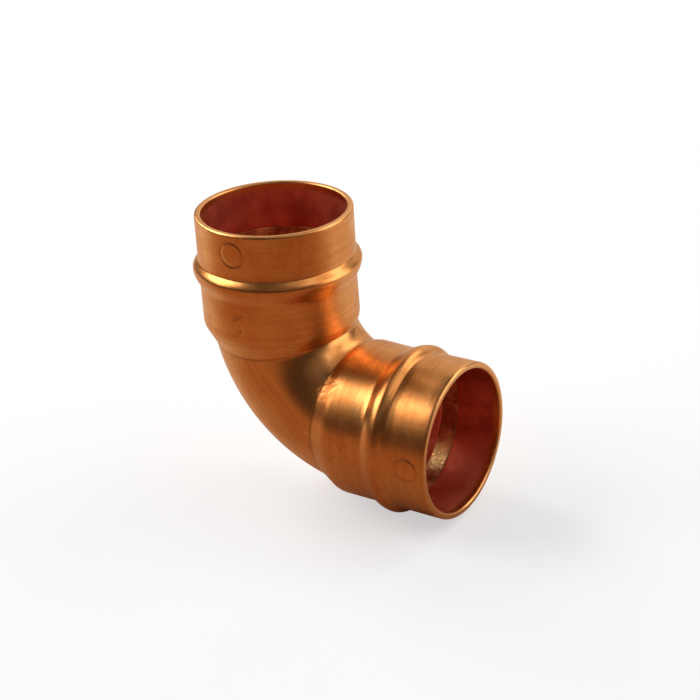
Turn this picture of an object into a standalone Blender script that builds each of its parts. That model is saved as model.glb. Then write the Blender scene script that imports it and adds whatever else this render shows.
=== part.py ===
"""Solder-ring pipe elbow, 90 degrees, with two equal sockets for 22 mm copper tube.

The elbow is one piece of tube: it is bent, its ends are swelled into sockets, and each socket has
a raised bead with a groove inside it.  A split ring of solder wire lies in each groove.

Frame: the origin is where the centre lines of the two sockets cross.  +Z runs up the upright
socket and out of its mouth, +X runs along the side socket and out of its mouth, and the elbow is
the same on both sides of the plane Y = 0.  Run it in Blender: blender --background --python part.py
"""

import math

import bmesh
import bpy
from mathutils import Matrix, Vector

MM = 0.001

# Driving dimensions: the sockets
TUBE_RADIUS = 11.0 * MM             # the tube that is soldered into each socket
FITTING_GAP = 0.05 * MM             # all round the tube, for the solder to creep into
WALL = 1.0 * MM
CENTRE_TO_FACE = 32.0 * MM          # from the origin to each mouth
SOCKET_LENGTH = 17.4 * MM           # from the mouth to the start of the shoulder
REAR_SHRINK = 0.05 * MM             # the outside is this much smaller behind the bead
RIM_CHAMFER = 0.15 * MM

# Driving dimensions: the bead, and the groove inside it
BEAD_FROM_MOUTH = 8.5 * MM          # to the crest
BEAD_HEIGHT = 0.88 * MM
BEAD_FRONT_WIDTH = 1.35 * MM        # from the crest to the mouth side: steep
BEAD_REAR_WIDTH = 2.55 * MM         # from the crest to the bend side: long and soft
GROOVE_WALL = 0.85 * MM             # the wall is stretched thinner at the crest
GROOVE_FRONT_WIDTH = 1.10 * MM
GROOVE_REAR_WIDTH = 2.00 * MM

# Driving dimensions: the shoulder and the bend
HEEL_SHOULDER = 3.1 * MM            # along the axis, to the crease at the heel and the sides
CROTCH_SHOULDER = 0.8 * MM          # the same at the crotch, where the metal is crowded
CROTCH_FULLNESS = 0.2 * MM          # how far the crowded metal swells the socket there
TUBE_STOP_Z = 0.2 * MM              # the inner step lies this much nearer to the mouth
HEEL_RADIUS = 28.15 * MM            # the long outer side of the bend
HEEL_CENTRE = 17.25 * MM            # x and z of its centre
CROTCH_RADIUS = 4.8 * MM            # the short inner side of the bend
CROTCH_CENTRE = 16.0 * MM           # x and z of its centre
BEND_HALF_WIDTH = 10.8 * MM         # across the bend, along Y
HALF_WAY = math.radians(45)         # the plane that cuts the bend in two

# Driving dimensions: the solder rings
RING_GAP = 0.30 * MM                # between the solder and the groove
RING_INNER_RADIUS = TUBE_RADIUS + 0.15 * MM
RING_FRONT_WIDTH = 0.70 * MM
RING_REAR_WIDTH = 1.30 * MM
RING_SPLIT = math.radians(8)        # the gap between the two ends of the wire

# How finely round shapes are divided
ROUND_STEPS = 40
BEAD_STEPS = 4                      # on each side of the crest
BEND_STEPS = 9                      # from the crease to the middle of the bend

BORE_RADIUS = TUBE_RADIUS + FITTING_GAP
SOCKET_RADIUS = BORE_RADIUS + WALL
REAR_RADIUS = SOCKET_RADIUS - REAR_SHRINK
CREST_RADIUS = SOCKET_RADIUS + BEAD_HEIGHT
GROOVE_RADIUS = CREST_RADIUS - GROOVE_WALL
BEAD_Z = CENTRE_TO_FACE - BEAD_FROM_MOUTH
SHOULDER_Z = CENTRE_TO_FACE - SOCKET_LENGTH

ALONG_Z = Matrix.Identity(4)
ALONG_X = Matrix.Rotation(math.radians(90), 4, "Y")


def clear_scene():
    for thing in list(bpy.data.objects):
        bpy.data.objects.remove(thing, do_unlink=True)


def make_collection(name):
    collection = bpy.data.collections.new(name)
    bpy.context.scene.collection.children.link(collection)
    return collection


def make_material(name, colour, roughness):
    material = bpy.data.materials.new(name)
    material.use_nodes = True
    shader = material.node_tree.nodes["Principled BSDF"]
    shader.inputs["Base Color"].default_value = (*colour, 1.0)
    shader.inputs["Metallic"].default_value = 1.0
    shader.inputs["Roughness"].default_value = roughness
    material.diffuse_color = (*colour, 1.0)
    return material


def add_object(name, mesh, collection):
    thing = bpy.data.objects.new(name, mesh)
    collection.objects.link(thing)
    return thing


def as_cutter(thing):
    thing.hide_render = True
    thing.display_type = "WIRE"
    return thing


def bump(base_front, base_rear, crest, front_width, rear_width):
    """Points (radius, z) over a rounded ridge round the socket, from its mouth side down."""
    points = []
    for step in range(-BEAD_STEPS, BEAD_STEPS + 1):
        share = step / BEAD_STEPS
        base = base_front if step < 0 else base_rear
        width = front_width if step < 0 else rear_width
        radius = base + (crest - base) * math.cos(share * math.pi / 2)
        points.append((radius, BEAD_Z - share * width))
    return points


def smooth_share(value):
    value = min(max(value, 0.0), 1.0)
    return value * value * (3 - 2 * value)


def upright_point(turn, radius, z):
    return Vector((radius * math.cos(turn), radius * math.sin(turn), z))


def bend_section(angle, wall):
    """Distance from the crotch centre to the middle of the bend's oval, and half its depth."""
    offset = HEEL_CENTRE - CROTCH_CENTRE
    along = offset * (math.cos(angle) + math.sin(angle))
    heel = -along + math.sqrt(along ** 2 - 2 * offset ** 2 + (HEEL_RADIUS - wall) ** 2)
    crotch = CROTCH_RADIUS + wall
    return (heel + crotch) / 2, (heel - crotch) / 2


def on_bend(angle, around, wall):
    """A point of the bend, by the angle of its section and the direction round that section."""
    middle, half_depth = bend_section(angle, wall)
    reach = middle + half_depth * math.cos(around)
    side = (BEND_HALF_WIDTH - wall) * math.sin(around)
    x = CROTCH_CENTRE - reach * math.cos(angle)
    z = CROTCH_CENTRE - reach * math.sin(angle)
    return Vector((x, side, z))


def bend_place(point, wall):
    """The section angle and direction of a point, and how far out it lies: 1 is on the bend."""
    x, z = CROTCH_CENTRE - point.x, CROTCH_CENTRE - point.z
    angle = math.atan2(z, x)
    middle, half_depth = bend_section(angle, wall)
    deep = (math.hypot(x, z) - middle) / half_depth
    side = point.y / (BEND_HALF_WIDTH - wall)
    return angle, math.atan2(side, deep), math.hypot(deep, side)


def crease_point(turn, wall):
    """Where the shoulder meets the bend: the radius is found by halving the distance."""
    share = smooth_share(abs(turn) / math.radians(90))
    z = SHOULDER_Z - CROTCH_SHOULDER - (HEEL_SHOULDER - CROTCH_SHOULDER) * share
    low, high = 6.0 * MM, 14.0 * MM
    for _ in range(40):
        middle = (low + high) / 2
        if bend_place(upright_point(turn, middle, z), wall)[2] > 1:
            high = middle
        else:
            low = middle
    return upright_point(turn, low, z)


def outer_profile():
    """The outside of a socket, from its mouth down to its shoulder."""
    points = [(SOCKET_RADIUS - RIM_CHAMFER, CENTRE_TO_FACE)]
    points.append((SOCKET_RADIUS, CENTRE_TO_FACE - RIM_CHAMFER))
    points += bump(SOCKET_RADIUS, REAR_RADIUS, CREST_RADIUS, BEAD_FRONT_WIDTH, BEAD_REAR_WIDTH)
    points.append((REAR_RADIUS, SHOULDER_Z))
    return points


def bore_profile():
    """The inside of a socket, from beyond its mouth down to its tube stop."""
    points = [(BORE_RADIUS, CENTRE_TO_FACE + WALL)]
    points += bump(BORE_RADIUS, BORE_RADIUS, GROOVE_RADIUS, GROOVE_FRONT_WIDTH, GROOVE_REAR_WIDTH)
    points.append((BORE_RADIUS, SHOULDER_Z + TUBE_STOP_Z))
    return points


def skin_line(turn, profile, wall, swell):
    """One direction of the skin, from the upright mouth to the middle of the bend."""
    points = [upright_point(turn, radius, z) for radius, z in profile]
    near_crotch = 1 - smooth_share(abs(turn) / math.radians(75))
    points[-1] = upright_point(turn, profile[-1][0] + swell * near_crotch, profile[-1][1])
    crease = crease_point(turn, wall)
    angle, around, _ = bend_place(crease, wall)
    end_around = math.copysign(math.pi, turn) - turn
    points.append(crease)
    for step in range(1, BEND_STEPS + 1):
        share = step / BEND_STEPS
        section = angle + (HALF_WAY - angle) * share
        points.append(on_bend(section, around + (end_around - around) * share, wall))
    return points


def elbow_loft(name, profile, wall, swell, collection):
    """A closed skin of rings, from the upright mouth round the bend to the side mouth.

    The side half is the upright half with its x and z changed over.
    """
    turns = [math.tau * number / ROUND_STEPS - math.pi for number in range(ROUND_STEPS)]
    lines = [skin_line(turn, profile, wall, swell) for turn in turns]
    for line in lines:
        line += [Vector((point.z, point.y, point.x)) for point in reversed(line[:-1])]
    mesh = bpy.data.meshes.new(name)
    bm = bmesh.new()
    rings = [[bm.verts.new(point) for point in ring] for ring in zip(*lines)]
    for first, second in zip(rings, rings[1:]):
        for number in range(ROUND_STEPS):
            following = (number + 1) % ROUND_STEPS
            bm.faces.new((first[number], first[following], second[following], second[number]))
    bm.faces.new(rings[0])
    bm.faces.new(rings[-1])
    bmesh.ops.recalc_face_normals(bm, faces=bm.faces)
    bm.to_mesh(mesh)
    bm.free()
    mesh.shade_smooth()
    mesh.set_sharp_from_angle(angle=math.radians(25))
    return add_object(name, mesh, collection)


def combine(thing, other, operation):
    boolean = thing.modifiers.new(operation.title() + " " + other.name, "BOOLEAN")
    boolean.operation = operation
    boolean.solver = "EXACT"
    boolean.object = other
    as_cutter(other)


def make_body(collection, cutters, material):
    """The formed copper body: its outer skin, less the way through it."""
    body = elbow_loft("elbow_body", outer_profile(), 0.0, CROTCH_FULLNESS, collection)
    waterway = elbow_loft("elbow_waterway", bore_profile(), WALL, 0.0, cutters)
    combine(body, waterway, "DIFFERENCE")
    body.data.materials.append(material)
    return body


def make_solder_ring(name, placing, split_at, collection, material):
    """A split ring: a half-round section, domed towards the groove, spun most of the way round."""
    crown = GROOVE_RADIUS - RING_GAP
    section = bump(RING_INNER_RADIUS, RING_INNER_RADIUS, crown, RING_FRONT_WIDTH, RING_REAR_WIDTH)
    start = Matrix.Rotation(split_at + RING_SPLIT / 2, 4, "Z")
    mesh = bpy.data.meshes.new(name)
    bm = bmesh.new()
    corners = [bm.verts.new(start @ Vector((radius, 0.0, z))) for radius, z in section]
    bm.faces.new(corners)
    bmesh.ops.spin(
        bm,
        geom=bm.faces[:] + bm.edges[:] + bm.verts[:],
        axis=(0.0, 0.0, 1.0),
        angle=math.tau - RING_SPLIT,
        steps=ROUND_STEPS,
        use_duplicate=False,
    )
    bmesh.ops.holes_fill(bm, edges=bm.edges[:])
    bmesh.ops.recalc_face_normals(bm, faces=bm.faces)
    bm.to_mesh(mesh)
    bm.free()
    mesh.shade_smooth()
    mesh.set_sharp_from_angle(angle=math.radians(40))
    ring = add_object(name, mesh, collection)
    ring.matrix_world = placing
    ring.data.materials.append(material)
    return ring


def main():
    clear_scene()
    parts = make_collection("pipe_elbow")
    cutters = make_collection("elbow_cutters")
    copper = make_material("formed_copper", (0.78, 0.40, 0.17), 0.28)
    tin = make_material("solder_tin", (0.62, 0.60, 0.56), 0.42)
    make_body(parts, cutters, copper)
    make_solder_ring("upright_solder_ring", ALONG_Z, math.radians(270), parts, tin)
    make_solder_ring("side_solder_ring", ALONG_X, math.radians(270), parts, tin)


main()
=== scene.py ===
# %% [markdown]
# A solder-ring pipe elbow is one short length of copper tube.  It is bent to a right angle, its ends
# are swelled into sockets, and a raised bead is rolled round each socket from the inside.  A split
# ring of solder wire lies in the groove that the bead leaves.
# This lesson models the formed body and the two rings, and then gives each its finish.
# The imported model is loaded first, because every piece has to lie where it says.

# %% Load the frame
import math

import bmesh
import bpy
from mathutils import Matrix, Vector


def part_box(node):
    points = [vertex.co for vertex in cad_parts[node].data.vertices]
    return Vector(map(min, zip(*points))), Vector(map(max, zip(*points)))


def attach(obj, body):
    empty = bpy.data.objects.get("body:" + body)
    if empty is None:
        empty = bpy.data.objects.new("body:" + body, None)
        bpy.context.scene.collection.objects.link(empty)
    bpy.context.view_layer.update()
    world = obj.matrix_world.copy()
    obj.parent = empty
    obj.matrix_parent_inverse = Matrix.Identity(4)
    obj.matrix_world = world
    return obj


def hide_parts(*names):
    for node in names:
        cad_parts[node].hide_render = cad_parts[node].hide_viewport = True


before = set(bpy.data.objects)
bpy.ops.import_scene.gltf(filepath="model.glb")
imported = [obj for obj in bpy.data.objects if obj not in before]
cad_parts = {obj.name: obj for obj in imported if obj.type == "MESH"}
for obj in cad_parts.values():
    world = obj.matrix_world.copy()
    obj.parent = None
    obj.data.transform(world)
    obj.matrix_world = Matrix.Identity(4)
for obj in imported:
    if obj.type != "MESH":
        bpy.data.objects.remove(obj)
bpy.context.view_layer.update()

# %% [markdown]
# The sizes come from the frame where it states them.  The mouths are the highest faces, and the
# beads are the widest rings.  The rest are the workshop sizes of a socket for 22 mm tube.

# %% Sizes
MM = 0.001
body_low, body_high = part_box("elbow_body")
ring_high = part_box("upright_solder_ring")[1]

MOUTH_Z = body_high[2]
CREST_RADIUS = body_high[1]
BORE_RADIUS = 11.05 * MM
WALL = 1.0 * MM
SOCKET_RADIUS = BORE_RADIUS + WALL
REAR_RADIUS = SOCKET_RADIUS - 0.05 * MM
BEAD_Z = MOUTH_Z - 8.5 * MM
GROOVE_RADIUS = CREST_RADIUS - 0.85 * MM
SHOULDER_Z = MOUTH_Z - 17.4 * MM
HEEL_SHOULDER = 3.1 * MM
CROTCH_SHOULDER = 0.8 * MM
CROTCH_FULLNESS = 0.2 * MM
HEEL_RADIUS = 28.15 * MM
HEEL_CENTRE = 17.25 * MM
CROTCH_RADIUS = 4.8 * MM
CROTCH_CENTRE = 16.0 * MM
BEND_HALF_WIDTH = 10.8 * MM
ROUND_STEPS = 160
print("mouth at", round(MOUTH_Z / MM, 2), "mm, bead crest", round(CREST_RADIUS / MM, 2), "mm")

# %% [markdown]
# The camera stands to the front right of the elbow and looks down on it at about 25 degrees, close
# enough for the side mouth to look larger than the upright one.

# %% Camera
CAMERA_PLACE = Vector((0.15159, -0.20328, 0.12856))
CAMERA_AIM = Vector((0.00661, 0.00836, 0.00602))
CAMERA_ROLL = math.radians(-3.479)
CAMERA_LENS = 92.466

camera_data = bpy.data.cameras.new("camera")
camera_data.lens = CAMERA_LENS
camera_data.sensor_width = 36.0
camera_data.clip_start = 0.01
camera = bpy.data.objects.new("camera", camera_data)
bpy.context.scene.collection.objects.link(camera)
look = (CAMERA_AIM - CAMERA_PLACE).to_track_quat("-Z", "Y").to_matrix().to_4x4()
camera.matrix_world = Matrix.Translation(CAMERA_PLACE) @ look @ Matrix.Rotation(CAMERA_ROLL, 4, "Z")
bpy.context.scene.camera = camera
print("camera", round((CAMERA_AIM - CAMERA_PLACE).length / MM), "mm from the elbow")

# %% [markdown]
# A mesh is shaped in edit mode as by hand.  These three helpers start a piece from a circle, take
# hold of one of its loops, and draw that loop on by one more row.
# Every vertex keeps the angle that it started with in a layer named turn, so that a row that leaves
# the straight socket still knows which way each of its points belongs.  Other layers keep how far
# along the skin it lies from the mouth, whether it is on the inside, and how near it lies to the
# crease, where the finish paints shade.  The finish reads them later.

# %% Helpers for drawing a loop on
def deselect_all():
    if bpy.context.object and bpy.context.object.mode != "OBJECT":
        bpy.ops.object.mode_set(mode="OBJECT")
    bpy.ops.object.select_all(action="DESELECT")


def start_circle(name, radius, z):
    deselect_all()
    bpy.ops.mesh.primitive_circle_add(vertices=ROUND_STEPS, radius=radius, location=(0, 0, z))
    piece = bpy.context.object
    piece.name = name
    bpy.ops.object.transform_apply(location=True, rotation=True, scale=True)
    bpy.ops.object.mode_set(mode="EDIT")
    bm = bmesh.from_edit_mesh(piece.data)
    turn = bm.verts.layers.float.new("turn")
    for vert in bm.verts:
        vert[turn] = math.atan2(vert.co.y, vert.co.x)
    for layer_name in ("along", "inside", "crease_shade"):
        bm.verts.layers.float.new(layer_name)
    bmesh.update_edit_mesh(piece.data)
    return piece


def take_loop_at(piece, z):
    bpy.ops.mesh.select_all(action="DESELECT")
    bm = bmesh.from_edit_mesh(piece.data)
    for vert in bm.verts:
        vert.select = abs(vert.co.z - z) < 0.001 * MM
    bm.select_flush_mode()
    bmesh.update_edit_mesh(piece.data)


# The last argument is the share of painted shade that a row gets near the crease.
def draw_on(piece, place, is_inside=0.0, crease_shade_share=0.0):
    """Extrude the selected loop, and put each new point where place(turn) says."""
    bpy.ops.mesh.extrude_region_move()
    bm = bmesh.from_edit_mesh(piece.data)
    turn, along, inside, crease_shade = [
        bm.verts.layers.float[name] for name in ("turn", "along", "inside", "crease_shade")]
    for vert in bm.verts:
        if vert.select:
            new_place = place(vert[turn])
            vert[along] += (new_place - vert.co).length
            vert[inside] = is_inside
            vert[crease_shade] = crease_shade_share
            vert.co = new_place
    bmesh.update_edit_mesh(piece.data)


# %% [markdown]
# A turned row is a circle of some radius at some height.  A rounded corner between two straight
# stretches is a few rows on a curve that starts on one stretch, heads for the corner and ends on the
# other one.

# %% Rows of a turned shape
def curve_between(start, corner, end, share):
    return start * (1 - share) ** 2 + corner * 2 * share * (1 - share) + end * share ** 2


def rounded_corner(start, corner, end, steps):
    """Points (radius, z) round a corner, both ends included."""
    start, corner, end = Vector(start), Vector(corner), Vector(end)
    return [tuple(curve_between(start, corner, end, step / steps)) for step in range(steps + 1)]


def ridge(base, crest, z, widths, round_off, steps):
    """Points (radius, z) over a rolled ridge, from its mouth side to its bend side."""
    front, rear = widths
    points = []
    for step in range(1, steps):
        share = step / steps
        points.append((base + (crest - base) * math.sin(share * math.pi / 2), z + front * (1 - share)))
    points.append((crest, z))
    for step in range(1, steps):
        share = step / steps
        points.append((base + (crest - base) * math.cos(share * math.pi / 2), z - rear * share))
    first, last = points[0], points[-1]
    entry = rounded_corner((base, z + front + round_off[0]), (base, z + front), first, 3)
    leave = rounded_corner(last, (base, z - rear), (base, z - rear - round_off[1]), 6)
    return entry[:-1] + points + leave[1:]


# %% [markdown]
# The bend is a tube whose heel is a long flat arc and whose crotch is a tight one.  The shoulder runs
# down from the socket to a crease on the bend.  The crease lies deep at the heel and the sides, and
# close to the socket at the crotch, where the metal is crowded.  Its radius is found for each
# direction by halving the distance.

# %% The crease between the shoulder and the bend
def bend_section(angle, wall):
    """Centre distance from the crotch centre and half depth of the bend's oval at an angle."""
    offset = HEEL_CENTRE - CROTCH_CENTRE
    along = offset * (math.cos(angle) + math.sin(angle))
    heel = -along + math.sqrt(along ** 2 - 2 * offset ** 2 + (HEEL_RADIUS - wall) ** 2)
    crotch = CROTCH_RADIUS + wall
    return (heel + crotch) / 2, (heel - crotch) / 2


def on_bend(angle, around, wall):
    middle, half_depth = bend_section(angle, wall)
    reach = middle + half_depth * math.cos(around)
    side = (BEND_HALF_WIDTH - wall) * math.sin(around)
    return Vector((
        CROTCH_CENTRE - reach * math.cos(angle), side, CROTCH_CENTRE - reach * math.sin(angle)))


def bend_place(point, wall):
    """The bend's own angle, direction round its oval, and how far out the point is (1 = surface)."""
    x, z = CROTCH_CENTRE - point.x, CROTCH_CENTRE - point.z
    angle = math.atan2(z, x)
    middle, half_depth = bend_section(angle, wall)
    deep = (math.hypot(x, z) - middle) / half_depth
    side = point.y / (BEND_HALF_WIDTH - wall)
    return angle, math.atan2(side, deep), math.hypot(deep, side)


def smooth_share(value):
    value = min(max(value, 0.0), 1.0)
    return value * value * (3 - 2 * value)


def upright_point(turn, radius, z):
    return Vector((radius * math.cos(turn), radius * math.sin(turn), z))


def fullness(turn, z):
    """The metal is crowded on the crotch side, so the socket is a little fuller there."""
    near_crotch = 1 - smooth_share(abs(turn) / math.radians(75))
    near_shoulder = 1 - smooth_share((z - SHOULDER_Z) / (6.0 * MM))
    return CROTCH_FULLNESS * near_crotch * near_shoulder


def crease_point(turn, wall):
    """The crease lies deep at the heel and sides, and close to the socket at the crotch."""
    share = smooth_share(abs(turn) / math.radians(90))
    z = SHOULDER_Z - CROTCH_SHOULDER - (HEEL_SHOULDER - CROTCH_SHOULDER) * share
    low, high = 6.0 * MM, 14.0 * MM
    for _ in range(40):
        middle = (low + high) / 2
        if bend_place(upright_point(turn, middle, z), wall)[2] > 1:
            high = middle
        else:
            low = middle
    return upright_point(turn, low, z)


# %% [markdown]
# One direction of the skin, from the straight socket over the rounded knee, down the shoulder, through
# the soft crease and along the bend to the middle of the elbow, is a list of points.  Working the
# points out per direction keeps every row on the crease, so that its line stays clean.

# %% One line of the skin from socket to mid bend
KNEE_STEPS = 5
SLOPE_STEPS = 3
CREASE_STEPS = 6
BEND_STEPS = 22
HALF_WAY = math.radians(45)


def skin_line(turn, start_radius, start_z, wall, knee, crease):
    if wall == 0.0:
        start_radius += fullness(turn, start_z)
    corner = upright_point(turn, start_radius, start_z)
    crease_at = crease_point(turn, wall)
    slope_length = (crease_at - corner).length
    knee_end = corner.lerp(crease_at, min(knee / slope_length, 0.45))
    slope_end = crease_at.lerp(corner, min(crease / slope_length, 0.45))
    angle, around, _ = bend_place(crease_at, wall)
    target = math.pi - turn if turn >= 0 else -math.pi - turn

    def along_bend(share):
        return on_bend(angle + (HALF_WAY - angle) * share, around + (target - around) * share, wall)

    length = (along_bend(0.5) - crease_at).length + (along_bend(1.0) - along_bend(0.5)).length
    first = min(crease / length, 0.4)
    crease_end = along_bend(first)
    top = upright_point(turn, start_radius, start_z + knee)
    points = [curve_between(top, corner, knee_end, step / KNEE_STEPS)
              for step in range(1, KNEE_STEPS + 1)]
    points += [knee_end.lerp(slope_end, step / SLOPE_STEPS) for step in range(1, SLOPE_STEPS + 1)]
    points += [curve_between(slope_end, crease_at, crease_end, step / CREASE_STEPS)
               for step in range(1, CREASE_STEPS + 1)]
    points += [along_bend(first + (1 - first) * step / BEND_STEPS) for step in range(1, BEND_STEPS + 1)]
    return points


# %% [markdown]
# The outside of one half is drawn first: from the middle of the rim over its rounded edge, down the
# mouth, over the bead, and along the skin lines.

# %% Outside of the upright half
RIM_ROUND = 0.42 * MM
MOUTH_ROWS = 5
BEAD_TOP = BEAD_Z + 1.5 * MM
BEAD_FRONT, BEAD_REAR = 1.35 * MM, 2.4 * MM
BEAD_ENTRY, BEAD_LEAVE = 0.12 * MM, 0.9 * MM
KNEE = 0.55 * MM
CREASE = 0.40 * MM
rim_radius = (BORE_RADIUS + SOCKET_RADIUS) / 2


def even_rows(radius, start_z, end_z, count):
    """Rows on a straight stretch, the start left out."""
    return [(radius, start_z + (end_z - start_z) * step / count) for step in range(1, count + 1)]


body = start_circle("formed_body", rim_radius, MOUTH_Z)
outer = rounded_corner(
    (SOCKET_RADIUS - RIM_ROUND, MOUTH_Z), (SOCKET_RADIUS, MOUTH_Z),
    (SOCKET_RADIUS, MOUTH_Z - RIM_ROUND), 6)
outer += even_rows(SOCKET_RADIUS, MOUTH_Z - RIM_ROUND, BEAD_TOP, MOUTH_ROWS)[:-1]
for radius, z in ridge(
        SOCKET_RADIUS, CREST_RADIUS, BEAD_Z, (BEAD_FRONT, BEAD_REAR), (BEAD_ENTRY, BEAD_LEAVE), 9):
    rear_share = min(max((BEAD_Z - z) / BEAD_REAR, 0.0), 1.0)
    outer.append((radius - (SOCKET_RADIUS - REAR_RADIUS) * rear_share, z))
outer += even_rows(REAR_RADIUS, outer[-1][1], SHOULDER_Z + KNEE, 3)
for radius, z in outer:
    full = z < BEAD_Z - 2.0 * MM
    draw_on(body, lambda turn: upright_point(turn, radius + (fullness(turn, z) if full else 0.0), z))

row_count = KNEE_STEPS + SLOPE_STEPS + CREASE_STEPS + BEND_STEPS
lines = {}


def skin_row(number, start_radius, start_z, wall, knee, crease):
    def place(turn):
        key = (round(turn, 6), wall)
        if key not in lines:
            lines[key] = skin_line(turn, start_radius, start_z, wall, knee, crease)
        return lines[key][number]
    return place


# The rows round the crease get a share of painted shade, which darkens the colour along it.
crease_row = KNEE_STEPS + SLOPE_STEPS + CREASE_STEPS // 2 - 1
for number in range(row_count):
    painted_shade = max(0.0, 1 - abs(number - crease_row) / 3)
    draw_on(body, skin_row(number, REAR_RADIUS, SHOULDER_Z, 0.0, KNEE, CREASE), crease_shade_share=painted_shade)
print("outside rows:", len(outer) + row_count)

# %% [markdown]
# The inside starts from the same loop on the rim, so the wall closes by itself at the mouth.  The
# groove is rolled by the same tool as the bead, and the bore ends on a small step, the tube stop.

# %% Inside of the upright half
take_loop_at(body, MOUTH_Z)
bm = bmesh.from_edit_mesh(body.data)
for vert in bm.verts:
    vert.select = vert.select and abs(vert.co.xy.length - rim_radius) < 0.01 * MM
bm.select_flush_mode()
bmesh.update_edit_mesh(body.data)

STOP_Z = SHOULDER_Z + 0.2 * MM
STOP_KNEE = 0.25 * MM
INNER_ROUND = 0.34 * MM
GROOVE_TOP = BEAD_Z + 1.2 * MM
GROOVE_FRONT, GROOVE_REAR = 1.1 * MM, 2.0 * MM
GROOVE_ENTRY, GROOVE_LEAVE = 0.08 * MM, 0.3 * MM
inner = rounded_corner(
    (BORE_RADIUS + INNER_ROUND, MOUTH_Z), (BORE_RADIUS, MOUTH_Z),
    (BORE_RADIUS, MOUTH_Z - INNER_ROUND), 5)
inner += even_rows(BORE_RADIUS, MOUTH_Z - INNER_ROUND, GROOVE_TOP, MOUTH_ROWS)[:-1]
inner += ridge(
    BORE_RADIUS, GROOVE_RADIUS, BEAD_Z, (GROOVE_FRONT, GROOVE_REAR), (GROOVE_ENTRY, GROOVE_LEAVE), 7)
inner += even_rows(BORE_RADIUS, inner[-1][1], STOP_Z + STOP_KNEE, 3)
for radius, z in inner:
    deep = min(max((MOUTH_Z - INNER_ROUND - z) / (0.8 * MM), 0.0), 1.0)
    draw_on(body, lambda turn: upright_point(turn, radius, z), is_inside=deep)
for number in range(row_count):
    draw_on(body, skin_row(number, BORE_RADIUS, STOP_Z, WALL, STOP_KNEE, CREASE), is_inside=1.0)
print("inside rows:", len(inner) + row_count)

# %% [markdown]
# The other half is the same shape across the plane that cuts the bend in two.  A Mirror modifier does
# it, guided by an empty that is turned by 45 degrees.

# %% Mirror to the side half
bpy.ops.object.mode_set(mode="OBJECT")
guide = bpy.data.objects.new("mirror_guide", None)
bpy.context.scene.collection.objects.link(guide)
guide.rotation_euler = (0.0, math.radians(45), 0.0)
bpy.context.view_layer.update()
mirror = body.modifiers.new("Other half", "MIRROR")
mirror.mirror_object = guide
mirror.merge_threshold = 0.00001
bpy.ops.object.modifier_apply(modifier=mirror.name)
bpy.data.objects.remove(guide, do_unlink=True)
bpy.ops.object.mode_set(mode="EDIT")
bpy.ops.mesh.select_all(action="SELECT")
bpy.ops.mesh.remove_doubles(threshold=0.000001)
bpy.ops.mesh.normals_make_consistent(inside=False)
bpy.ops.object.mode_set(mode="OBJECT")
bpy.ops.object.shade_smooth_by_angle(angle=math.radians(50))
print("body faces:", len(body.data.polygons))

# %% [markdown]
# The solder is drawn as wire and pressed into the groove, so its section follows the groove outside
# and is flat towards the tube.  The wire is cut to length before it is coiled, which leaves a gap.

# %% Solder rings
RING_INNER = 11.15 * MM
RING_CROWN = ring_high[0]
RING_TOP, RING_BOTTOM = BEAD_Z + 1.0 * MM, BEAD_Z - 1.85 * MM
RING_CLEARANCE = 0.08 * MM
RING_FLAT = 0.03 * MM
RING_TURN = math.radians(352)
SPLIT_AT = math.radians(274)


def groove_radius_at(z):
    share = min(abs(z - BEAD_Z) / (GROOVE_FRONT if z > BEAD_Z else GROOVE_REAR), 1.0)
    return BORE_RADIUS + (GROOVE_RADIUS - BORE_RADIUS) * math.cos(share * math.pi / 2)


def solder_ring(name):
    deselect_all()
    bpy.ops.mesh.primitive_circle_add(vertices=20, radius=1.0 * MM, fill_type="NGON")
    ring = bpy.context.object
    ring.name = name
    bpy.ops.object.mode_set(mode="EDIT")
    bm = bmesh.from_edit_mesh(ring.data)
    for vert in bm.verts:
        angle = math.atan2(vert.co.y, vert.co.x)
        height = (RING_TOP + RING_BOTTOM) / 2 + (RING_TOP - RING_BOTTOM) / 2 * math.sin(angle)
        dome = RING_INNER - RING_FLAT
        if math.cos(angle) > -0.01:
            dome = max(RING_INNER, min(groove_radius_at(height) - RING_CLEARANCE, RING_CROWN))
        vert.co = Matrix.Rotation(SPLIT_AT, 3, "Z") @ Vector((dome, 0.0, height))
    bmesh.update_edit_mesh(ring.data)
    bpy.ops.mesh.select_all(action="SELECT")
    bpy.ops.mesh.spin(steps=120, angle=RING_TURN, center=(0, 0, 0), axis=(0, 0, 1))
    bpy.ops.mesh.select_all(action="SELECT")
    bpy.ops.mesh.remove_doubles(threshold=0.000001)
    bpy.ops.mesh.select_all(action="DESELECT")
    bpy.ops.mesh.select_non_manifold()
    bpy.ops.mesh.fill_holes(sides=0)
    bpy.ops.mesh.select_all(action="SELECT")
    bpy.ops.mesh.normals_make_consistent(inside=False)
    bpy.ops.object.mode_set(mode="OBJECT")
    bpy.ops.object.shade_smooth_by_angle(angle=math.radians(40))
    return ring


upright_ring = solder_ring("upright_ring")
side_ring = solder_ring("side_ring")
side_ring.rotation_euler = (0.0, math.radians(90), 0.0)
deselect_all()
side_ring.select_set(True)
bpy.context.view_layer.objects.active = side_ring
bpy.ops.object.transform_apply(location=True, rotation=True, scale=True)

# %% [markdown]
# The fine lines in the metal run round the sockets and along the bend, because the tube was drawn,
# bent and then spun between rollers.  So each point is given its place on the straight tube that the
# elbow was made from, in millimetres: two numbers for the way round, and one for the way along.
# The heel is longer than the crotch, so past the socket every line is scaled to the same length.

# %% Place on the straight tube
STRAIGHT = MOUTH_Z - SHOULDER_Z
MIDDLE = 28.5 * MM


def read_layers(piece):
    return [piece.data.attributes[name].data for name in ("turn", "along", "inside")]


def line_key(index):
    """The skin line that a vertex is on, by its turn and its side of the wall."""
    return round(turns[index].value, 3), insides[index].value > 0.5


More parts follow.
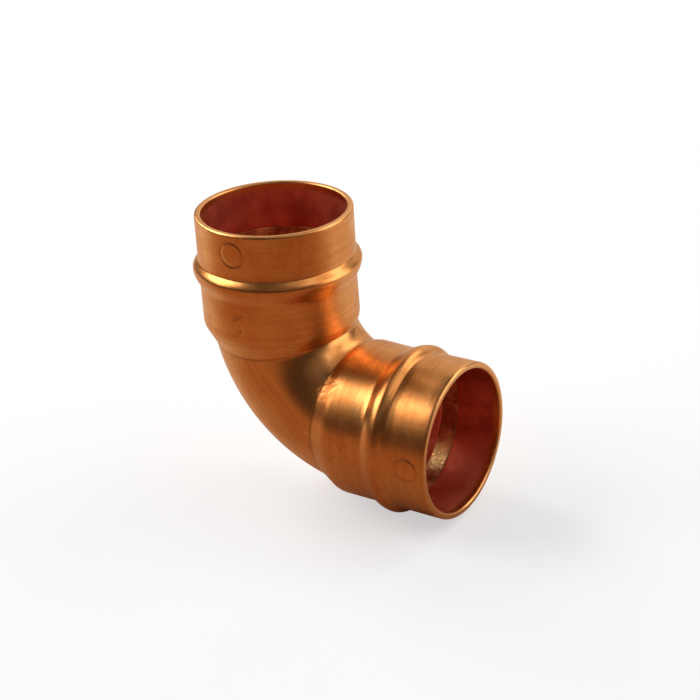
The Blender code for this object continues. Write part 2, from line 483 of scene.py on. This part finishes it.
half_length = {}
turns, lengths, insides = read_layers(body)
for vert in body.data.vertices:
    if abs(vert.co.x - vert.co.z) < 0.01 * MM:
        half_length[line_key(vert.index)] = lengths[vert.index].value
body.data.attributes.new("tube_place", "FLOAT_VECTOR", "POINT")
turns, lengths, insides = read_layers(body)
tube_place = body.data.attributes["tube_place"].data
for vert in body.data.vertices:
    turn, length = turns[vert.index].value, lengths[vert.index].value
    middle = half_length.get(line_key(vert.index), MIDDLE)
    if length > STRAIGHT:
        length = STRAIGHT + (length - STRAIGHT) * (MIDDLE - STRAIGHT) / (middle - STRAIGHT)
    if vert.co.x > vert.co.z:
        length = 2 * MIDDLE - length
    around = Vector((math.cos(turn), math.sin(turn), 0.0)) * SOCKET_RADIUS
    tube_place[vert.index].vector = (around + Vector((0.0, 0.0, length))) / MM
print("middle of the bend is", round(min(half_length.values()) / MM, 1), "to",
      round(max(half_length.values()) / MM, 1), "mm from the mouth along the skin")

# %% [markdown]
# The finish is put together from node groups, one for each thing that happened to the metal.  These
# helpers add a node, feed its sockets and make a group.

# %% Helpers for shader nodes
def feed(tree, socket, value):
    if isinstance(value, bpy.types.NodeSocket):
        tree.links.new(value, socket)
    else:
        socket.default_value = value


def new_group(name, inputs, outputs):
    tree = bpy.data.node_groups.new(name, "ShaderNodeTree")
    for socket_name, kind in inputs:
        tree.interface.new_socket(socket_name, in_out="INPUT", socket_type="NodeSocket" + kind)
    for socket_name, kind in outputs:
        tree.interface.new_socket(socket_name, in_out="OUTPUT", socket_type="NodeSocket" + kind)
    return tree, tree.nodes.new("NodeGroupInput").outputs, tree.nodes.new("NodeGroupOutput").inputs


def use_group(tree, name, **values):
    node = tree.nodes.new("ShaderNodeGroup")
    node.node_tree = bpy.data.node_groups[name]
    for socket_name, value in values.items():
        feed(tree, node.inputs[socket_name.replace("_", " ")], value)
    return node.outputs


def calculate(tree, operation, *values):
    node = tree.nodes.new("ShaderNodeMath")
    node.operation = operation
    for socket, value in zip(node.inputs, values):
        feed(tree, socket, value)
    return node.outputs["Value"]


def vector_maths(tree, operation, *values):
    node = tree.nodes.new("ShaderNodeVectorMath")
    node.operation = operation
    for socket, value in zip(node.inputs, values):
        feed(tree, socket, value)
    return node.outputs["Value" if operation in ("LENGTH", "DISTANCE", "DOT_PRODUCT") else "Vector"]


def share_between(tree, value, low, high, result_low=0.0, result_high=1.0):
    node = tree.nodes.new("ShaderNodeMapRange")
    node.interpolation_type = "SMOOTHSTEP"
    for socket, number in zip(node.inputs, (value, low, high, result_low, result_high)):
        feed(tree, socket, number)
    return node.outputs["Result"]


def mix_colours(tree, share, first, second):
    node = tree.nodes.new("ShaderNodeMix")
    node.data_type = "RGBA"
    feed(tree, node.inputs["Factor"], share)
    feed(tree, node.inputs[6], first)
    feed(tree, node.inputs[7], second)
    return node.outputs[2]


def noise(tree, place, stretch, detail=2.0):
    node = tree.nodes.new("ShaderNodeTexNoise")
    feed(tree, node.inputs["Vector"], vector_maths(tree, "MULTIPLY", place, stretch))
    node.inputs["Scale"].default_value = 1.0
    node.inputs["Detail"].default_value = detail
    return node.outputs["Fac"]


# %% [markdown]
# The first group draws the lines that the tools left.  The rollers leave fine rings round the sockets.
# The bend slides through its former, and that leaves lines the other way.

# %% Tool lines
tree, given, result = new_group(
    "Tool lines", [("Place", "Vector"), ("Bend", "Float")], [("Lines", "Float")])
rings = noise(tree, given["Place"], (0.05, 0.05, 1.7), 2.0)
drawn = noise(tree, given["Place"], (0.9, 0.9, 0.04), 2.0)
drawn_share = calculate(tree, "MULTIPLY", given["Bend"], 0.8)
rings_part = calculate(tree, "MULTIPLY", rings, calculate(tree, "SUBTRACT", 1.0, drawn_share))
drawn_part = calculate(tree, "MULTIPLY", drawn, drawn_share)
feed(tree, result["Lines"], calculate(tree, "ADD", rings_part, drawn_part))

# %% [markdown]
# Handling leaves soft clouds that are a little darker and redder, and the cleaned metal has a fine
# grain that catches the light.

# %% Clouds and grain
tree, given, result = new_group(
    "Clouds and grain", [("Place", "Vector")], [("Clouds", "Float"), ("Grain", "Float")])
clouds = noise(tree, given["Place"], (0.16, 0.16, 0.13), 4.0)
feed(tree, result["Clouds"], share_between(tree, clouds, 0.36, 0.66))
feed(tree, result["Grain"], noise(tree, given["Place"], (1.5, 1.5, 1.5), 1.0))

# %% [markdown]
# Small marks are pressed into the side of each socket: a plain ring near the mouth, and plain strokes
# behind the bead.  A mark is full where a point is within half the stroke's width of its line.

# %% Pressed marks
tree, given, result = new_group(
    "Pressed ring",
    [("Place", "Vector"), ("Centre", "Vector"), ("Radius", "Float"), ("Width", "Float")],
    [("Mark", "Float")])
reach = vector_maths(tree, "DISTANCE", given["Place"], given["Centre"])
off_line = calculate(tree, "ABSOLUTE", calculate(tree, "SUBTRACT", reach, given["Radius"]))
feed(tree, result["Mark"], share_between(tree, off_line, 0.0, given["Width"], 1.0, 0.0))

tree, given, result = new_group(
    "Pressed stroke",
    [("Place", "Vector"), ("Middle", "Vector"), ("Half", "Vector"), ("Width", "Float")],
    [("Mark", "Float")])
from_middle = vector_maths(tree, "SUBTRACT", given["Place"], given["Middle"])
along_stroke = calculate(
    tree, "DIVIDE", vector_maths(tree, "DOT_PRODUCT", from_middle, given["Half"]),
    vector_maths(tree, "DOT_PRODUCT", given["Half"], given["Half"]))
held = calculate(tree, "MAXIMUM", calculate(tree, "MINIMUM", along_stroke, 1.0), -1.0)
scaled = tree.nodes.new("ShaderNodeVectorMath")
scaled.operation = "SCALE"
feed(tree, scaled.inputs["Vector"], given["Half"])
feed(tree, scaled.inputs["Scale"], held)
off_line = vector_maths(tree, "DISTANCE", from_middle, scaled.outputs["Vector"])
feed(tree, result["Mark"], share_between(tree, off_line, 0.0, given["Width"], 1.0, 0.0))

# %% [markdown]
# A scuff is a patch of short scratches that lie nearly the same way, where the elbow was dropped or
# gripped.  The pattern is squeezed along the scratches, which stretches them, and the patch fades
# out towards its edge.

# %% Scuffs
SCRATCH_WAY = (0.70, 0.50, 0.51)
SCRATCH_STRETCH = 0.87

tree, given, result = new_group(
    "Scuff", [("Place", "Vector"), ("Centre", "Vector"), ("Size", "Float")], [("Scratches", "Float")])
near = share_between(
    tree, vector_maths(tree, "DISTANCE", given["Place"], given["Centre"]),
    calculate(tree, "MULTIPLY", given["Size"], 0.35), given["Size"], 1.0, 0.0)
lengthwise = vector_maths(tree, "DOT_PRODUCT", given["Place"], SCRATCH_WAY)
shortened = tree.nodes.new("ShaderNodeVectorMath")
shortened.operation = "SCALE"
shortened.inputs["Vector"].default_value = SCRATCH_WAY
feed(tree, shortened.inputs["Scale"], calculate(tree, "MULTIPLY", lengthwise, SCRATCH_STRETCH))
squeezed = vector_maths(tree, "SUBTRACT", given["Place"], shortened.outputs["Vector"])
scratches = noise(tree, squeezed, (2.2, 2.2, 2.2), 1.0)
off_scratch = calculate(tree, "ABSOLUTE", calculate(tree, "SUBTRACT", scratches, 0.5))
lines = share_between(tree, off_scratch, 0.0, 0.05, 1.0, 0.0)
feed(tree, result["Scratches"], calculate(tree, "MULTIPLY", near, lines))

# %% [markdown]
# The copper's material starts with what it reads from the mesh: the place on the straight tube, how
# far a point is from the mouth, whether it is inside, and how near it is to the crease, where shade is
# painted.

# %% Copper: what it reads
copper = bpy.data.materials.new("formed_copper")
copper.use_nodes = True
tree = copper.node_tree
shader = tree.nodes["Principled BSDF"]


def read_layer(tree, name, output="Fac"):
    node = tree.nodes.new("ShaderNodeAttribute")
    node.attribute_name = name
    return node.outputs[output]


def place_in_mm(tree):
    place = tree.nodes.new("ShaderNodeTexCoord").outputs["Object"]
    return vector_maths(tree, "MULTIPLY", place, (1 / MM, 1 / MM, 1 / MM))


tube = read_layer(tree, "tube_place", "Vector")
from_mouth = calculate(tree, "MULTIPLY", read_layer(tree, "along"), 1 / MM)
object_place = place_in_mm(tree)
in_bend = share_between(tree, from_mouth, 18.5, 21.0)
tool_lines = use_group(tree, "Tool lines", Place=tube, Bend=in_bend)["Lines"]
surface = use_group(tree, "Clouds and grain", Place=tube)
rubbed = share_between(tree, from_mouth, 0.35, 0.75, 1.0, 0.0)
inside = share_between(tree, read_layer(tree, "inside"), 0.2, 0.9)
# How near a point is to the crease, for the painted shade there.
crease_shade = read_layer(tree, "crease_shade")

# %% [markdown]
# The marks and the scuff are placed in millimetres on the near side of the sockets.  A mark that is
# close to the wall would also show on its other face, so the marks are kept off the inside.

# %% Copper: marks and scuff
RING_CENTRES = ((0.6, -12.0, 28.95), (28.95, -12.0, 0.1))
STROKES = (
    ((0.8, -11.95, 18.9), (0.62, 0.0, 0.45)), ((0.6, -11.95, 16.3), (0.62, 0.0, 0.45)),
    ((18.2, -11.85, 1.6), (0.45, 0.0, 0.62)), ((16.2, -11.9, -1.2), (0.45, 0.0, 0.62)))
SCUFF_CENTRE = (13.6, -8.4, 8.2)

marks = 0.0
for centre in RING_CENTRES:
    ring_mark = use_group(
        tree, "Pressed ring", Place=object_place, Centre=centre, Radius=1.9, Width=0.42)["Mark"]
    marks = calculate(tree, "MAXIMUM", marks, ring_mark)
for middle, half in STROKES:
    stroke = use_group(
        tree, "Pressed stroke", Place=object_place, Middle=middle, Half=half, Width=0.36)["Mark"]
    marks = calculate(tree, "MAXIMUM", marks, stroke)
marks = calculate(tree, "MULTIPLY", marks, calculate(tree, "SUBTRACT", 1.0, inside))
scuff = use_group(tree, "Scuff", Place=object_place, Centre=SCUFF_CENTRE, Size=2.2)["Scratches"]

# %% [markdown]
# The copper is satin outside.  Inside it kept the dark red skin of the heat treatment.  The rim is
# rubbed bright.  The crease and the pressed marks are darkened, which is painted shade.  The lamps are
# warm, so these colours are paler than the metal looks under them.

# %% Copper: colour
CLEAN, CLOUDED = (0.93, 0.49, 0.19, 1.0), (0.82, 0.37, 0.125, 1.0)
DULL_LINE, BRIGHT_GRAIN = (0.72, 0.27, 0.085, 1.0), (0.98, 0.58, 0.26, 1.0)
# A dark brown that paints shade along the crease and in the pressed marks.
SHADE_BROWN = (0.30, 0.10, 0.04, 1.0)
RED_SKIN, DARK_SKIN = (0.95, 0.36, 0.27, 1.0), (0.62, 0.15, 0.11, 1.0)
RUBBED = (0.96, 0.58, 0.28, 1.0)

clean = mix_colours(tree, surface["Clouds"], CLEAN, CLOUDED)
dull_lines = calculate(tree, "MULTIPLY", share_between(tree, tool_lines, 0.40, 0.62), 0.34)
lined = mix_colours(tree, dull_lines, clean, DULL_LINE)
grainy = calculate(tree, "MULTIPLY", share_between(tree, surface["Grain"], 0.42, 0.70), 0.22)
lined = mix_colours(tree, grainy, lined, BRIGHT_GRAIN)
# Painted shade: the crease rows and the pressed marks are darkened towards the dark brown.
painted_shade = calculate(
    tree, "MAXIMUM", calculate(tree, "MULTIPLY", crease_shade, 0.5), calculate(tree, "MULTIPLY", marks, 0.20))
outside = mix_colours(tree, painted_shade, lined, SHADE_BROWN)
skin = mix_colours(tree, surface["Clouds"], RED_SKIN, DARK_SKIN)
whole = mix_colours(tree, inside, outside, skin)
whole = mix_colours(tree, calculate(tree, "MULTIPLY", rubbed, 0.6), whole, RUBBED)
feed(tree, shader.inputs["Base Color"], whole)
shader.inputs["Metallic"].default_value = 1.0

# %% [markdown]
# The tool lines and the clouds are a little rougher than the metal between them, and the red skin
# inside is duller than the cleaned outside.

# %% Copper: roughness
rough = calculate(tree, "ADD", 0.215, calculate(tree, "MULTIPLY", tool_lines, 0.12))
rough = calculate(tree, "ADD", rough, calculate(tree, "MULTIPLY", surface["Clouds"], 0.05))
rough = calculate(tree, "ADD", rough, calculate(tree, "MULTIPLY", inside, 0.20))
feed(tree, shader.inputs["Roughness"], rough)

# %% [markdown]
# The heights of the lines, grain, marks and scratches are added in millimetres, and one Bump node
# turns them into relief.

# %% Relief of the copper
height = calculate(tree, "MULTIPLY", tool_lines, 0.010)
height = calculate(tree, "ADD", height, calculate(tree, "MULTIPLY", surface["Grain"], 0.006))
height = calculate(tree, "SUBTRACT", height, calculate(tree, "MULTIPLY", marks, 0.09))
height = calculate(tree, "SUBTRACT", height, calculate(tree, "MULTIPLY", scuff, 0.05))
relief = tree.nodes.new("ShaderNodeBump")
relief.inputs["Distance"].default_value = MM
feed(tree, relief.inputs["Height"], height)
feed(tree, shader.inputs["Normal"], relief.outputs["Normal"])
body.data.materials.append(copper)
print("copper nodes:", len(tree.nodes))

# %% [markdown]
# The solder is a dull yellowish grey with a pitted skin, and dried flux has browned it in patches.

# %% Solder
BARE_TIN, BROWNED_TIN = (0.90, 0.80, 0.44, 1.0), (0.46, 0.25, 0.15, 1.0)

tin = bpy.data.materials.new("solder_tin")
tin.use_nodes = True
tree = tin.node_tree
shader = tree.nodes["Principled BSDF"]
object_place = place_in_mm(tree)
clouds = noise(tree, object_place, (0.22, 0.22, 0.22), 4.0)
pits = noise(tree, object_place, (2.2, 2.2, 2.2), 3.0)
browned = share_between(tree, clouds, 0.42, 0.60)
feed(tree, shader.inputs["Base Color"], mix_colours(tree, browned, BARE_TIN, BROWNED_TIN))
shader.inputs["Metallic"].default_value = 1.0
feed(tree, shader.inputs["Roughness"], share_between(tree, pits, 0.3, 0.7, 0.26, 0.44))
relief = tree.nodes.new("ShaderNodeBump")
relief.inputs["Distance"].default_value = MM
feed(tree, relief.inputs["Height"], calculate(tree, "MULTIPLY", pits, 0.05))
feed(tree, shader.inputs["Normal"], relief.outputs["Normal"])
for ring in (upright_ring, side_ring):
    ring.data.materials.append(tin)

# %% [markdown]
# The studio is plain: a pale floor, softboxes to the left and the right, and dimmer panels behind,
# above and in front.  The room is dark, so the metal has something dark to show between the lights.
# The camera sees the floor and the backdrop as pale paper, while the metal sees them dimmer, and
# the floor in front of the elbow is painted brown for the metal alone: painted shade that it reflects.
# The paper is tinted, because the lamps are warm.

# %% Floor and backdrop
FLOOR_PALE = (0.52, 0.65, 0.87, 1.0)
FLOOR_GLOW = 0.55
FRONT_FLOOR_SHADE = (0.44, 0.25, 0.155, 1.0)
FLOOR_DIM = (0.80, 0.80, 0.80, 1.0)
ROOM = (0.045, 0.030, 0.024, 1.0)
BACKDROP = (0.98, 0.98, 0.98, 1.0)
FLOOR_SIZE = 1.3
TOWARDS_FRONT = (0.35, -0.94, 0.0)

deselect_all()
bpy.ops.mesh.primitive_plane_add(size=FLOOR_SIZE, location=(0, 0, body_low[2]))
floor = bpy.context.object
floor.name = "floor"
paper = bpy.data.materials.new("paper")
paper.use_nodes = True
tree = paper.node_tree
shader = tree.nodes["Principled BSDF"]
seen = tree.nodes.new("ShaderNodeLightPath").outputs["Is Camera Ray"]
forward = vector_maths(
    tree, "DOT_PRODUCT", tree.nodes.new("ShaderNodeTexCoord").outputs["Object"], TOWARDS_FRONT)
# For the metal the floor in front of the elbow is brown, a painted shade that it reflects.
dim = mix_colours(tree, share_between(tree, forward, -0.035, 0.04), FLOOR_DIM, FRONT_FLOOR_SHADE)
feed(tree, shader.inputs["Base Color"], mix_colours(tree, seen, dim, FLOOR_PALE))
shader.inputs["Roughness"].default_value = 0.9
shader.inputs["Specular IOR Level"].default_value = 0.1
shader.inputs["Emission Color"].default_value = (1.0, 1.0, 1.0, 1.0)
feed(tree, shader.inputs["Emission Strength"], calculate(tree, "MULTIPLY", seen, FLOOR_GLOW))
floor.data.materials.append(paper)

world = bpy.data.worlds.new("studio")
bpy.context.scene.world = world
world.use_nodes = True
tree = world.node_tree
seen = tree.nodes.new("ShaderNodeLightPath").outputs["Is Camera Ray"]
feed(tree, tree.nodes["Background"].inputs["Color"], mix_colours(tree, seen, ROOM, BACKDROP))
bpy.context.scene.view_settings.view_transform = "Standard"
bpy.context.scene.view_settings.look = "None"


# %% [markdown]
# A softbox is placed by the direction in which the elbow sees it, how wide and tall it looks in
# degrees, and how bright its cloth is.  The lamps are warm, and the paper's tint cancels that out.

# %% Softboxes
LIGHT_DISTANCE = 0.8
LAMP_TINT = (1.0, 0.80, 0.60)


def softbox(name, azimuth, height_angle, wide, tall, brightness):
    light = bpy.data.lights.new(name, "AREA")
    light.shape = "RECTANGLE"
    light.size = 2 * LIGHT_DISTANCE * math.tan(math.radians(wide / 2))
    light.size_y = 2 * LIGHT_DISTANCE * math.tan(math.radians(tall / 2))
    light.energy = brightness * math.pi * light.size * light.size_y
    light.color = LAMP_TINT
    lamp = bpy.data.objects.new(name, light)
    lamp.visible_camera = False
    bpy.context.scene.collection.objects.link(lamp)
    azimuth, height_angle = math.radians(azimuth), math.radians(height_angle)
    away = Vector((
        math.sin(azimuth) * math.cos(height_angle), -math.cos(azimuth) * math.cos(height_angle),
        math.sin(height_angle)))
    facing = away.to_track_quat("Z", "Y").to_matrix().to_4x4()
    lamp.matrix_world = Matrix.Translation(away * LIGHT_DISTANCE) @ facing
    return lamp


softbox("left_softbox", -66, 40, 36, 32, 4.0)
softbox("left_side", -110, 38, 18, 34, 5.0)
softbox("right_softbox", 121, 17, 44, 38, 1.8)
softbox("back_right_panel", 150, 46, 34, 22, 2.1)
softbox("right_panel", 92, 46, 26, 20, 1.1)
softbox("back_panel", 180, 26, 34, 50, 0.6)
softbox("back_left_panel", -150, 26, 30, 50, 0.6)
softbox("top_panel", 90, 72, 36, 36, 0.4)
softbox("front_fill_left", -20, 42, 36, 28, 0.10)
softbox("front_fill_right", 50, 42, 50, 28, 0.13)

# %% Tie the pieces to the frame
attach(body, "root")
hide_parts("elbow_body")
for ring, node in ((upright_ring, "upright_solder_ring"), (side_ring, "side_solder_ring")):
    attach(ring, "root")
    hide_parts(node)
